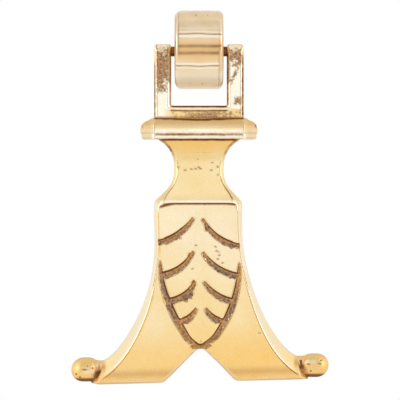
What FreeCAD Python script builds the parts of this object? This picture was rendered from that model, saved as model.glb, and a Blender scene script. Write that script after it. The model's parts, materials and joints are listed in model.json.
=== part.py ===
"""Cast brass drop pull for a drawer: a round-nosed post, a hinge pin and a swinging drop with a carved leaf.

Millimetres. The origin is the middle of the post's seat on the drawer front, +Z is up, -Y is towards the viewer.
The pieces are drawn about the hinge axis and moved to the seat when they are written.
"""

import FreeCAD, Part
import math
import os

Vector = FreeCAD.Vector

# How near two coordinates have to be to count as the same
tiny = 0.001

# Post: the lug that is screwed to the drawer front and carries the hinge
post_width = 8.3
nose_radius = 6.5
nose_lift = 0.5
standoff = 9.5
post_edge_round = 0.75
fixing_hole_radius = 1.65
fixing_hole_wall = 1.6

# Hinge pin: tight in the arms, free in the post
pin_radius = 0.85
pin_running_clearance = 0.05
pin_end_chamfer = 0.2

# Shackle: two arms and a cross bar round the post
side_gap = 0.6
arm_width = 2.9
shackle_depth = 4.0
arm_crown = 1.2
arm_top_slope = 0.6
swing_gap = 2.3
bar_height = 2.0
shackle_chamfer = 0.45
arm_corner_chamfer = 0.3

# Collar: a quarter-round moulding above a small lip, eight-sided in plan
ovolo_radius = 2.35
ovolo_face = 0.35
quirk_height = 0.3
quirk_depth = 0.35
lip_setback = 0.2
lip_height = 0.75

# Neck: waisted in both directions
waist_half_width = 4.23
waist_half_depth = 2.1
waist_height = 1.0
upper_cove_height = 4.5
neck_top_half_width = 7.1
neck_top_half_depth = 3.5
lower_cove_radius = 4.5
ledge_half_depth = 3.0
ledge_cove_height = 2.9
ledge_band = 0.3
neck_chamfer = 0.55
foot_chamfer = 1.5
corner_stations = 20

# Body: a bevelled slab that splits into two flared legs
body_half_width = 7.52
body_front = 2.75
body_back = 2.5
bevel_depth = 1.8
bevel_width = 0.77
back_chamfer = 0.4
straight_height = 5.5
body_height = 30.34
flare_reach = 8.88
heel_reach = 11.0
heel_height = 4.05
flare_knee = 0.517
flare_ankle_out = 0.691
flare_ankle_down = 0.947
face_knee = 0.23
face_ankle_out = 0.249
face_ankle_down = 0.811
toe_rise = 0.25
toe_setback = 1.15
heel_setback = 0.9
base_bevel = 0.5
notch_half_width = 6.15
notch_height = 5.55
notch_tip_half_width = 0.5
notch_bevel = 0.3

# Knob feet
knob_half_length = 2.5
knob_radius = 2.05
knob_reach = 2.17
knob_lift = 2.28
ankle_half_height = 1.75
ankle_half_depth = 1.2

# Carved leaf: an outline groove and curved veins, cut with a chisel held aslant
outline_width = 1.25
outline_depth = 0.38
outline_head_share = 0.3
outline_lead_in = 0.05
vein_width = 1.3
vein_depth = 0.36
groove_floor = 0.25
steep_share = 0.25
leaf_top_drop = 9.3
leaf_edge_inset = 0.81
leaf_bulge = 1.14
leaf_tip_half_width = 1.73
leaf_tip_rise = 1.4
leaf_tip_round = 0.6
vein_count = 4
vein_inset = 0.8
vein_first_drop = 2.4
vein_head_share = 0.4
vein_pitch = 5.7
vein_pitch_ratio = 0.89
vein_slope = 0.69
vein_sag_ratio = 0.11
vein_lead_in = 0.15

# Heights below the hinge axis, from the top down
bar_top = -(nose_radius + nose_lift + swing_gap)
collar_top = bar_top - bar_height
ovolo_foot = collar_top - ovolo_radius
quirk_top = ovolo_foot - ovolo_face
collar_bottom = quirk_top - quirk_height - lip_height
waist_top = collar_bottom - upper_cove_height
waist_bottom = waist_top - waist_height
cove_turn = math.radians(45.0)
cove_out = lower_cove_radius * (1.0 - math.cos(cove_turn))
cove_down = lower_cove_radius * math.sin(cove_turn)
ledge_top = waist_bottom - cove_down - (body_half_width - waist_half_width - cove_out)
body_top = ledge_top - ledge_band
flare_top = body_top - straight_height
body_bottom = body_top - body_height
heel_top = body_bottom + heel_height
notch_apex = body_bottom + notch_height

inner_half_width = post_width / 2.0 + side_gap
outer_half_width = inner_half_width + arm_width
fixing_hole_depth = standoff - pin_radius - pin_running_clearance - fixing_hole_wall


def line(a, b):
    return Part.LineSegment(a, b).toShape()


def polyline(points):
    return [line(a, b) for a, b in zip(points, points[1:])]


def bezier(*poles):
    curve = Part.BezierCurve()
    curve.setPoles(list(poles))
    return curve.toShape()


def quarter_round(start, corner, end):
    """A quarter of a circle, or of an ellipse, from start to end; the tangents at its ends meet in corner."""
    centre = start + end - corner
    if abs((corner - start).Length - (end - corner).Length) < tiny:
        return Part.Arc(start, centre + (corner - centre) * math.sqrt(0.5), end).toShape()
    fullness = 4.0 * (math.sqrt(2.0) - 1.0) / 3.0
    return bezier(start, start + (corner - start) * fullness, end + (corner - end) * fullness, end)


def mirrored(shape):
    """The same shape on the other side of the middle plane x = 0."""
    return shape.mirror(Vector(0, 0, 0), Vector(1, 0, 0))


def mirrored_point(point):
    return Vector(-point.x, point.y, point.z)


def face_of(edges):
    return Part.Face(Part.Wire(Part.__sortEdges__(edges)))


def cove(waist, height, end_half_width, z_waist):
    """A hollow that leaves the waist upright and ends at another half-width, height above the waist or below it."""
    out = end_half_width - waist
    radius = (height * height + out * out) / (2.0 * out)
    half_turn = math.atan2(abs(height), radius - out) / 2.0
    rise = math.copysign(radius * math.sin(half_turn), height)
    middle = Vector(waist + radius * (1.0 - math.cos(half_turn)), 0, z_waist + rise)
    return Part.Arc(Vector(waist, 0, z_waist), middle, Vector(end_half_width, 0, z_waist + height)).toShape()


def both_sides(edges, top, bottom):
    """A face in the plane y = 0 between an outline from the point top to the point bottom and its mirror image."""
    across = [line(top, Vector(-top.x, 0, top.z)), line(bottom, Vector(-bottom.x, 0, bottom.z))]
    return face_of(edges + [mirrored(edge) for edge in edges] + across)


def run_through(face, angle, reach):
    """A face in the plane y = 0, run both ways along its normal and then turned about the upright axis."""
    bar = face.extrude(Vector(0, 2.0 * reach, 0))
    bar.translate(Vector(0, -reach, 0))
    bar.rotate(Vector(0, 0, 0), Vector(0, 0, 1), angle)
    return bar


def make_post():
    nose = Vector(0, 0, nose_lift)
    top = nose + Vector(0, 0, nose_radius)
    bottom = nose - Vector(0, 0, nose_radius)
    front = nose - Vector(0, nose_radius, 0)
    seat_top = Vector(0, standoff, top.z)
    seat_bottom = Vector(0, standoff, bottom.z)
    outline = [Part.Arc(top, front, bottom).toShape()] + polyline([bottom, seat_bottom, seat_top, top])
    lug = face_of(outline).extrude(Vector(post_width, 0, 0))
    lug.translate(Vector(-post_width / 2.0, 0, 0))
    cheek_edges = []
    for edge in lug.Edges:
        box = edge.BoundBox
        if box.XLength < tiny and box.YMin < standoff - tiny:
            cheek_edges.append(edge)
    lug = lug.makeFillet(post_edge_round, cheek_edges)
    bore_radius = pin_radius + pin_running_clearance
    bore = Part.makeCylinder(bore_radius, 2.0 * post_width, Vector(-post_width, 0, 0), Vector(1, 0, 0))
    tapped = Part.makeCylinder(fixing_hole_radius, fixing_hole_depth, Vector(0, standoff, 0), Vector(0, -1, 0))
    return lug.cut(bore).cut(tapped)


def make_pin():
    rod = Part.makeCylinder(pin_radius, 2.0 * outer_half_width, Vector(-outer_half_width, 0, 0), Vector(1, 0, 0))
    ends = [edge for edge in rod.Edges if edge.BoundBox.XLength < tiny]
    return rod.makeChamfer(pin_end_chamfer, ends)


def make_shackle():
    """A U-shaped frame, thinner at the arm tops, with every long edge bevelled."""
    corner = arm_corner_chamfer
    arm = [
        Vector(outer_half_width, 0, collar_top),
        Vector(outer_half_width, 0, arm_crown - corner),
        Vector(outer_half_width - corner, 0, arm_crown),
        Vector(inner_half_width + corner, 0, arm_crown),
        Vector(inner_half_width, 0, arm_crown - corner),
        Vector(inner_half_width, 0, bar_top),
    ]
    left_arm = [Vector(-p.x, 0, p.z) for p in reversed(arm)]
    frame = run_through(face_of(polyline(arm + left_arm + [arm[0]])), 0.0, shackle_depth)
    deep = shackle_depth / 2.0
    side = [
        Vector(deep, 0, collar_top),
        Vector(deep, 0, arm_crown - 2.0 * arm_top_slope),
        Vector(deep - arm_top_slope, 0, arm_crown),
    ]
    other_side = [Vector(-p.x, 0, p.z) for p in reversed(side)]
    frame = frame.common(run_through(face_of(polyline(side + other_side + [side[0]])), 90.0, 2.0 * outer_half_width))
    long_edges = []
    for edge in frame.Edges:
        box = edge.BoundBox
        on_face = box.YLength < tiny and abs(abs(box.YMin) - deep) < tiny
        upright = box.XLength < tiny and box.ZLength > shackle_chamfer
        window_foot = box.ZLength < tiny and abs(box.ZMin - bar_top) < tiny
        if on_face and (upright or window_foot):
            long_edges.append(edge)
    return frame.makeChamfer(shackle_chamfer, long_edges)


def collar_outline(core, scale):
    """The collar on one side, where core is the half-size that the moulding stands out from."""
    wide = core + ovolo_radius * scale
    quirk = wide - quirk_depth * scale
    lip = wide - lip_setback * scale
    top = Vector(core, 0, collar_top)
    bottom = Vector(lip - lip_setback * scale, 0, collar_bottom)
    edges = [quarter_round(top, Vector(wide, 0, collar_top), Vector(wide, 0, ovolo_foot))]
    edges += polyline([
        Vector(wide, 0, ovolo_foot),
        Vector(wide, 0, quirk_top),
        Vector(quirk, 0, quirk_top - quirk_height / 2.0),
        Vector(lip, 0, quirk_top - quirk_height),
        Vector(lip, 0, collar_bottom + lip_setback),
        bottom,
    ])
    return both_sides(edges, top, bottom)


def make_collar():
    """Four mouldings run through one another, so the plan is a rectangle with its corners cut off."""
    deep = shackle_depth / 2.0
    reach = 2.0 * (outer_half_width + ovolo_radius)
    diagonal = math.sqrt(0.5)
    corner_core = (outer_half_width + deep) * diagonal
    collar = run_through(collar_outline(outer_half_width, 1.0), 0.0, reach)
    collar = collar.common(run_through(collar_outline(deep, 1.0), 90.0, reach))
    for angle in (45.0, -45.0):
        collar = collar.common(run_through(collar_outline(corner_core, diagonal), angle, reach))
    return collar


def hollow(waist, height, end_half_width, rise):
    """Half-width of a cove at a rise above its waist or below it."""
    out = end_half_width - waist
    radius = (height * height + out * out) / (2.0 * out)
    return waist + radius - math.sqrt(radius * radius - rise * rise)


def neck_half_width(z):
    if z > waist_top:
        return hollow(waist_half_width, upper_cove_height, neck_top_half_width, z - waist_top)
    drop = max(0.0, waist_bottom - z)
    if drop < cove_down:
        return waist_half_width + lower_cove_radius - math.sqrt(lower_cove_radius ** 2 - drop ** 2)
    return waist_half_width + cove_out + drop - cove_down


def neck_half_depth(z):
    if z > waist_top:
        return hollow(waist_half_depth, upper_cove_height, neck_top_half_depth, z - waist_top)
    drop = max(0.0, ledge_top + ledge_cove_height - z)
    return hollow(waist_half_depth, ledge_cove_height, ledge_half_depth, drop)


def corner_chamfer(z):
    """The chamfer on the neck's corners, which widens down the lower cove to meet the body's bevels."""
    drop = max(0.0, ledge_top + ledge_cove_height - z) / ledge_cove_height
    return neck_chamfer + (foot_chamfer - neck_chamfer) * drop ** 2


def neck_corner_face():
    """The neck seen along a diagonal, which cuts its four corners back by their chamfer."""
    points = []
    for number in range(corner_stations + 1):
        z = collar_bottom + (ledge_top - collar_bottom) * number / corner_stations
        half = (neck_half_width(z) + neck_half_depth(z) - corner_chamfer(z)) * math.sqrt(0.5)
        points.append(Vector(half, 0, z))
    curve = Part.BSplineCurve()
    curve.interpolate(points)
    foot = Vector(points[-1].x, 0, body_top)
    return both_sides([curve.toShape(), line(points[-1], foot)], points[0], foot)


def make_neck():
    half_turn = cove_turn / 2.0
    turn_middle = Vector(waist_half_width + lower_cove_radius * (1.0 - math.cos(half_turn)), 0,
                         waist_bottom - lower_cove_radius * math.sin(half_turn))
    turn_end = Vector(waist_half_width + cove_out, 0, waist_bottom - cove_down)
    waist_foot = Vector(waist_half_width, 0, waist_bottom)
    foot = Vector(body_half_width, 0, body_top)
    front = [cove(waist_half_width, upper_cove_height, neck_top_half_width, waist_top)]
    front.append(line(Vector(waist_half_width, 0, waist_top), waist_foot))
    front.append(Part.Arc(waist_foot, turn_middle, turn_end).toShape())
    front += polyline([turn_end, Vector(body_half_width, 0, ledge_top), foot])
    front_face = both_sides(front, Vector(neck_top_half_width, 0, collar_bottom), foot)

    cove_top = ledge_top + ledge_cove_height
    foot = Vector(ledge_half_depth, 0, body_top)
    side = [cove(waist_half_depth, upper_cove_height, neck_top_half_depth, waist_top)]
    side.append(line(Vector(waist_half_depth, 0, waist_top), Vector(waist_half_depth, 0, cove_top)))
    side.append(cove(waist_half_depth, -ledge_cove_height, ledge_half_depth, cove_top))
    side.append(line(Vector(ledge_half_depth, 0, ledge_top), foot))
    side_face = both_sides(side, Vector(neck_top_half_depth, 0, collar_bottom), foot)

    reach = 2.0 * body_half_width
    neck = run_through(front_face, 0.0, reach).common(run_through(side_face, 90.0, reach))
    for angle in (45.0, -45.0):
        neck = neck.common(run_through(neck_corner_face(), angle, reach))
    return neck


def heel_half_width(z):
    """Half-width over the sloping ends of the legs at height z."""
    rise = (z - body_bottom) / heel_height
    return body_half_width + heel_reach + (flare_reach - heel_reach) * rise


def flare(half, toe, knee, ankle_out, ankle_down):
    """The curve of one leg's outer side, from the straight side down and out to the toe."""
    drop = flare_top - toe.z
    return bezier(Vector(half, toe.y, flare_top),
                  Vector(half, toe.y, flare_top - knee * drop),
                  Vector(half + ankle_out * (toe.x - half), toe.y, flare_top - ankle_down * drop),
                  toe)


def body_wire(half, curve, heel, notch_foot, notch_top, y):
    """One closed outline of the body: straight sides, flared legs, sloping heels and the notch between the legs."""
    toe = curve.Vertexes[-1].Point
    right = [line(Vector(half, y, body_top), Vector(half, y, flare_top)), curve]
    right += polyline([toe, heel, notch_foot, notch_top])
    left = [mirrored(edge) for edge in right]
    top = line(Vector(-half, y, body_top), Vector(half, y, body_top))
    tip = line(notch_top, Vector(-notch_top.x, y, notch_top.z))
    return Part.Wire(Part.__sortEdges__([top] + right + [tip] + left))


def make_body():
    rim = -(body_front - bevel_depth)
    toe = Vector(body_half_width + flare_reach, rim, heel_top)
    outer = body_wire(body_half_width,
                      flare(body_half_width, toe, flare_knee, flare_ankle_out, flare_ankle_down),
                      Vector(heel_half_width(body_bottom), rim, body_bottom),
                      Vector(notch_half_width, rim, body_bottom),
                      Vector(notch_tip_half_width, rim, notch_apex),
                      rim)
    half = body_half_width - bevel_width
    base = body_bottom + base_bevel
    toe = Vector(heel_half_width(base) - toe_setback, -body_front, base + toe_rise)
    inner = body_wire(half,
                      flare(half, toe, face_knee, face_ankle_out, face_ankle_down),
                      Vector(heel_half_width(base) - heel_setback, -body_front, base),
                      Vector(notch_half_width + notch_bevel, -body_front, base),
                      Vector(notch_tip_half_width, -body_front, notch_apex + notch_bevel),
                      -body_front)
    slab = Part.Face(outer).extrude(Vector(0, body_back - rim, 0))
    back_edges = [edge for edge in slab.Edges if edge.BoundBox.YMin > body_back - tiny]
    slab = slab.makeChamfer(back_chamfer, back_edges)
    bevelled = Part.makeLoft([outer, inner], True, True)
    return slab.fuse(bevelled)


def oval(centre, half_depth, half_height):
    """An upright oval face that looks along the x axis."""
    points = [
        centre + Vector(0, 0, half_height),
        centre - Vector(0, half_depth, 0),
        centre - Vector(0, 0, half_height),
        centre + Vector(0, half_depth, 0),
    ]
    return face_of([quarter_round(a, a + b - centre, b) for a, b in zip(points, points[1:] + points[:1])])


def make_knob():
    z = body_bottom + knob_lift
    middle = heel_half_width(z) + knob_reach
    round_end = min(knob_radius, knob_half_length - tiny)
    up = Vector(0, 0, knob_radius)
    inner_end = Vector(middle - knob_half_length, 0, z)
    outer_end = Vector(middle + knob_half_length, 0, z)
    inner_crown = inner_end + Vector(round_end, 0, knob_radius)
    outer_crown = outer_end + Vector(-round_end, 0, knob_radius)
    profile = [
        quarter_round(inner_end, inner_end + up, inner_crown),
        line(inner_crown, outer_crown),
        quarter_round(outer_crown, outer_end + up, outer_end),
        line(outer_end, inner_end),
    ]
    knob = face_of(profile).revolve(Vector(middle, 0, z), Vector(1, 0, 0), 360.0)
    root = middle - knob_half_length - ankle_half_height
    ankle = oval(Vector(root, 0, z), ankle_half_depth, ankle_half_height).extrude(Vector(middle - root, 0, 0))
    return knob.fuse(ankle)


def chisel_cut(start, middle, end, width, depth):
    """A cut along the arc through three points: a narrow floor, a steep wall on its left and a long one on its right."""
    path = Part.Arc(start, middle, end).toShape()
    along = path.tangentAt(path.FirstParameter)
    outward = Vector(0, -1, 0)
    outward = (outward - along * outward.dot(along)).normalize()
    across = along.cross(outward)
    floor = across * (groove_floor / 2.0)
    slopes = across * (2.0 * (width - groove_floor))
    clear = outward * (2.0 * depth)
    long_brim = start + floor + slopes * (1.0 - steep_share) + clear
    steep_brim = start - floor - slopes * steep_share + clear
    section = polyline([start - floor, start + floor, long_brim, steep_brim, start - floor])
    turn = math.degrees(path.LastParameter - path.FirstParameter)
    return face_of(section).revolve(path.Curve.Center, path.Curve.Axis, turn)


def leaf_outline():
    """Ends and middle of the right-hand edge of the leaf, as points in the plane y = 0."""
    start = Vector(body_half_width - leaf_edge_inset, 0, body_top - leaf_top_drop)
    tip = Vector(leaf_tip_half_width, 0, notch_apex + leaf_tip_rise)
    chord = tip - start
    outward = Vector(-chord.z, 0, chord.x).normalize()
    return start, (start + tip) * 0.5 + outward * leaf_bulge, tip


def leaf_half_width(z):
    """Half-width of the leaf at height z; above its top, the half-width of the front face."""
    start, middle, tip = leaf_outline()
    if z > start.z:
        return body_half_width - bevel_width / 2.0
    circle = Part.Arc(start, middle, tip).toShape().Curve
    centre = circle.Center
    return centre.x + math.sqrt(max(0.0, circle.Radius ** 2 - (z - centre.z) ** 2))


def make_carving():
    cuts = []
    floor = Vector(0, outline_depth - body_front, 0)
    head = floor - Vector(0, (1.0 - outline_head_share) * outline_depth, 0)
    lead_in = floor - Vector(0, outline_lead_in * outline_depth, 0)
    start, middle, tip = leaf_outline()
    cuts.append(chisel_cut(tip + floor, middle + lead_in, start + head, outline_width, outline_depth))
    inner_z = body_top - vein_first_drop
    pitch = vein_pitch
    for number in range(vein_count):
        outer_x = body_half_width
        outer_z = inner_z
        for step in range(12):
            outer_z = inner_z - vein_slope * (outer_x - vein_inset)
            outer_x = leaf_half_width(outer_z)
        start = Vector(vein_inset, vein_head_share * vein_depth - body_front, inner_z)
        end = Vector(outer_x, vein_depth - body_front, outer_z)
        chord = end - start
        below = Vector(chord.z, 0, -chord.x).normalize()
        middle = (start + end) * 0.5 + below * (vein_sag_ratio * chord.Length)
        middle.y = end.y - vein_lead_in * vein_depth
        cuts.append(chisel_cut(start, middle, end, vein_width, vein_depth))
        inner_z -= pitch
        pitch *= vein_pitch_ratio
    turn = Vector(0, 0, tip.z - leaf_tip_round)
    round_tip = chisel_cut(mirrored_point(tip) + floor, turn + floor, tip + floor, outline_width, outline_depth)
    return cuts + [mirrored(cut) for cut in cuts] + [round_tip]


def make_drop():
    knob = make_knob()
    drop = make_shackle().fuse([make_collar(), make_neck(), make_body(), knob, mirrored(knob)])
    reach = 2.0 * outer_half_width
    pin_holes = Part.makeCylinder(pin_radius, 2.0 * reach, Vector(-reach, 0, 0), Vector(1, 0, 0))
    for cut in [pin_holes] + make_carving():
        drop = drop.cut(cut)
    return drop.removeSplitter()


os.makedirs("parts", exist_ok=True)
pieces = {"knuckle_post": make_post(), "hinge_pin": make_pin(), "drop_casting": make_drop()}
for name, solid in pieces.items():
    placed = solid.copy()
    placed.translate(Vector(0, -standoff, 0))
    placed.exportStep("parts/" + name + ".step")
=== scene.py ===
import json
import math

import bpy
import numpy as np
from mathutils import Matrix, Vector


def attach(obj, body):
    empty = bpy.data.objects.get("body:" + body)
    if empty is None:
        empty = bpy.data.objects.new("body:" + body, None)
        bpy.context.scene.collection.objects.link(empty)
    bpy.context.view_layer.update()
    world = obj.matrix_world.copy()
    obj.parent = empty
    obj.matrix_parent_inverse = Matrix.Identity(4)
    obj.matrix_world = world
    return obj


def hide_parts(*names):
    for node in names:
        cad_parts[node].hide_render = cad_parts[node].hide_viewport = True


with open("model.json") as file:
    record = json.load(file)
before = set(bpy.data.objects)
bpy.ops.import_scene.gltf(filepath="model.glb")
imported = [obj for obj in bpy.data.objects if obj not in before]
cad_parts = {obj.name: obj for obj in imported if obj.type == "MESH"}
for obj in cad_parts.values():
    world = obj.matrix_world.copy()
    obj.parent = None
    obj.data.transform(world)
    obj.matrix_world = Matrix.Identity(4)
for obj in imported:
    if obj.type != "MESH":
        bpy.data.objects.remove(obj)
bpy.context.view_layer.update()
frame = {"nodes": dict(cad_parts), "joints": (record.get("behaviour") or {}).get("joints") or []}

# A drop pull of cast brass: a leaf-carved drop that swings on a pin through its knuckle post.
# Lengths are millimetres from the hinge axis, with the front towards -Y, unless a name says metres.
# Facing is 1 where a surface looks straight to the front, 0 at the sides and -1 at the back.
# A pair of places is where a soft limit begins and ends, or the middle and half width of a bell.
# A named pair of random lumps is their size and their seed.

MM = 0.001
HINGE_METRES = Vector(frame["joints"][0]["pos_m"])

# Mesh fineness

VOXEL = 0.13
MOST_TRIANGLES = 195000
FRONT_FACING = 0.3

# Rounds of smoothing, which wear edges and corners down, find the ridges for painted highlights and the
# hollows for painted shade, and find what lies beside a line

EDGE_ROUNDS = 3
CORNER_ROUNDS = 40
CUT_ROUNDS = 4
HIGHLIGHT_ROUNDS = 12
HOLLOW_SHADE_ROUNDS = 14
SEAM_ROUNDS = 30
ANKLE_ROUNDS = 40

# Heights of the drop from the top down, the depth of its face, and how far out its knobs begin

SHACKLE_FOOT = -11.3
COLLAR_FOOT = -15.05
BODY_TOP = -26.0
FACE_FRONT = -2.75
KNOB_ROOT = 17.3


def ease(low, high, value):
    """Goes smoothly from 0 at low to 1 at high."""
    share = np.clip((value - low) / (high - low), 0.0, 1.0)
    return share * share * (3.0 - 2.0 * share)


def bell(middle, width, value):
    """1 at the middle, falling away evenly on both sides."""
    return np.exp(-((value - middle) / width) ** 2)


def strongest(*shares):
    """The highest of several shares at each point."""
    return np.maximum.reduce(shares)


# Large odd numbers that mix a cell's place and a seed into a value without a pattern
CELL_MIX = (73856093, 19349663, 83492791)
SEED_MIX = 2654435761
LAST_MIX = 1274126177


def lattice(cells, seed):
    """One fixed random value from -1 to 1 for each whole cell."""
    mixed = seed * SEED_MIX
    for axis, factor in enumerate(CELL_MIX):
        mixed = mixed ^ cells[:, axis] * factor
    mixed = (mixed ^ (mixed >> 13)) * LAST_MIX
    return ((mixed ^ (mixed >> 16)) & 0xFFFF) / 32767.5 - 1.0


# Turns the random cells away from the object's flat faces, so that no grid shows on them
CELL_TURN = np.array(
    Matrix.Rotation(0.9, 3, "X") @ Matrix.Rotation(0.6, 3, "Y") @ Matrix.Rotation(1.1, 3, "Z"))

# Times this, points give lumps that change only from side to side
ACROSS = (1.0, 0.0, 0.0)


def lumps(points, size, seed):
    """Smooth random values from -1 to 1, in lumps about one size across."""
    scaled = points @ CELL_TURN / size
    cells = np.floor(scaled).astype(np.int64)
    part = scaled - cells
    part = part * part * (3.0 - 2.0 * part)
    total = np.zeros(len(points))
    for corner in np.ndindex(2, 2, 2):
        near = np.where(np.array(corner) == 1, part, 1.0 - part)
        total += near.prod(axis=1) * lattice(cells + np.array(corner), seed)
    return total


# Mesh work

def points_of(mesh):
    """The places of a mesh's points, one row each."""
    values = np.empty(len(mesh.vertices) * 3, np.float32)
    mesh.vertices.foreach_get("co", values)
    return values.reshape(-1, 3).astype(np.float64)


def normals_of(mesh):
    """The normals at a mesh's points, one row each."""
    values = np.empty(len(mesh.vertices) * 3, np.float32)
    mesh.vertices.foreach_get("normal", values)
    return values.reshape(-1, 3).astype(np.float64)


def set_points(mesh, points):
    """Moves a mesh's points to new places."""
    mesh.vertices.foreach_set("co", points.astype(np.float32).ravel())
    mesh.update()


def edges_of(mesh):
    """The two points of each edge, by number."""
    pairs = np.empty(len(mesh.edges) * 2, np.int32)
    mesh.edges.foreach_get("vertices", pairs)
    return pairs.reshape(-1, 2)


def relax(values, edges, rounds):
    """Draws each point half-way to the middle of its neighbours, round after round."""
    count = len(values)
    first, second = edges[:, 0], edges[:, 1]
    neighbours = np.bincount(edges.ravel(), minlength=count)[:, None]
    for _ in range(rounds):
        total = np.empty_like(values)
        for axis in range(values.shape[1]):
            column = values[:, axis]
            total[:, axis] = np.bincount(first, column[second], count)
            total[:, axis] += np.bincount(second, column[first], count)
        values = 0.5 * values + 0.5 * total / neighbours
    return values


def hollow_depth(points, normals, edges, rounds):
    """How far each point lies below its smoothed surroundings; negative on a ridge."""
    return np.einsum("ij,ij->i", relax(points, edges, rounds) - points, normals)


def beside(share, edges, rounds, gain):
    """A share spread out to the points around it, and made stronger by a gain."""
    return np.clip(gain * relax(share[:, None], edges, rounds)[:, 0], 0.0, 1.0)


def modified(mesh, kind, thinned=None, **settings):
    """The mesh that one modifier makes of a mesh; thinned says which points it may take away."""
    holder = bpy.data.objects.new("holder", mesh)
    bpy.context.scene.collection.objects.link(holder)
    if thinned is not None:
        holder.vertex_groups.new(name="thinned").add(np.flatnonzero(thinned).tolist(), 1.0, "REPLACE")
        settings["vertex_group"] = "thinned"
    modifier = holder.modifiers.new("work", kind)
    for name, value in settings.items():
        setattr(modifier, name, value)
    bpy.context.view_layer.update()
    made = bpy.data.meshes.new_from_object(holder.evaluated_get(bpy.context.evaluated_depsgraph_get()))
    bpy.data.objects.remove(holder)
    return made


def fine_mesh(node):
    """A node's own shape as an even fine mesh, in millimetres from the hinge axis."""
    mesh = frame["nodes"][node].data.copy()
    mesh.transform(Matrix.Scale(1.0 / MM, 4) @ Matrix.Translation(-HINGE_METRES))
    return modified(mesh, "REMESH", mode="VOXEL", voxel_size=VOXEL, adaptivity=0.0)


def store(mesh, marks):
    """Keeps named numbers for each point, for the finish to read."""
    for name, values in marks.items():
        mesh.attributes.new(name, "FLOAT", "POINT").data.foreach_set("value", values.astype(np.float32))


def finished_piece(name, mesh, node, body, material):
    """Thins the sides and back of a fine mesh, puts it in the frame and makes it stand for its node."""
    have = sum(len(face.vertices) - 2 for face in mesh.polygons)
    unseen = normals_of(mesh)[:, 1] > -FRONT_FACING
    mesh = modified(mesh, "DECIMATE", unseen, ratio=min(1.0, MOST_TRIANGLES / have))
    mesh.transform(Matrix.Translation(HINGE_METRES) @ Matrix.Scale(MM, 4))
    mesh.name = name
    mesh.polygons.foreach_set("use_smooth", np.ones(len(mesh.polygons), bool))
    mesh.materials.clear()
    mesh.materials.append(material)
    piece = bpy.data.objects.new(name, mesh)
    bpy.context.scene.collection.objects.link(piece)
    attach(piece, body)
    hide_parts(node)


# Colours and nodes

def linear(hex_colour, alpha=1.0):
    """An sRGB hex colour as linear light."""
    shares = [int(hex_colour[i:i + 2], 16) / 255.0 for i in (0, 2, 4)]
    return [c / 12.92 if c <= 0.04045 else ((c + 0.055) / 1.055) ** 2.4 for c in shares] + [alpha]


def add(tree, kind, inputs=None, stops=None, **settings):
    """Adds a node with its settings; an input takes a value, an output, or a node for its first output."""
    node = tree.nodes.new(kind)
    for name, value in settings.items():
        setattr(node, name, value)
    for key, value in (inputs or {}).items():
        if isinstance(value, bpy.types.Node):
            value = value.outputs[0]
        if isinstance(value, bpy.types.NodeSocket):
            tree.links.new(value, node.inputs[key])
        else:
            node.inputs[key].default_value = value
    if stops:
        elements = node.color_ramp.elements
        while len(elements) < len(stops):
            elements.new(0.5)
        for element, (position, colour) in zip(elements, stops):
            element.position = position
            element.color = colour
    return node


def per_mm(size):
    """The noise scale whose lumps are one size across, for coordinates in metres."""
    return 1.0 / (size * MM)


def new_material(name):
    """A material with an empty node tree."""
    material = bpy.data.materials.new(name)
    material.use_nodes = True
    material.node_tree.nodes.clear()
    return material


# Sockets of the Map Range node
VALUE = 0
FROM_LOW = 1
FROM_HIGH = 2
TO_LOW = 3
TO_HIGH = 4

# Sockets of the Mix node for colours and for numbers
SHARE = 0
COLOUR_A = 6
COLOUR_B = 7
COLOUR_OUT = 2
NUMBER_A = 2
NUMBER_B = 3

# What each finish reads from its piece's points
DROP_MARKS = ("warmth", "painted_highlight", "skin", "cut", "wall_shade", "rough_wall_and_shade", "shade_and_patina", "unbuffed")
KNUCKLE_MARKS = ("tan", "painted_brightness", "painted_shade_and_pits", "matt")

# Sizes of the patterns in the brass, and the height of its bumps
BUFF_CLOUD = 5.0
CAST_GRAIN = 0.4
MOULD_SAND = 0.2
SATIN_CLOUD = 3.0
FILE_LINE = 0.5
DRAWN_LINE = 0.3
BUMP_HEIGHT = 0.02

# Stretches a pattern into lines along the hinge axis
FILED_STRETCH = (0.08, 1.0, 1.0)
DRAWN_STRETCH = (0.1, 1.0, 1.0)


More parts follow.
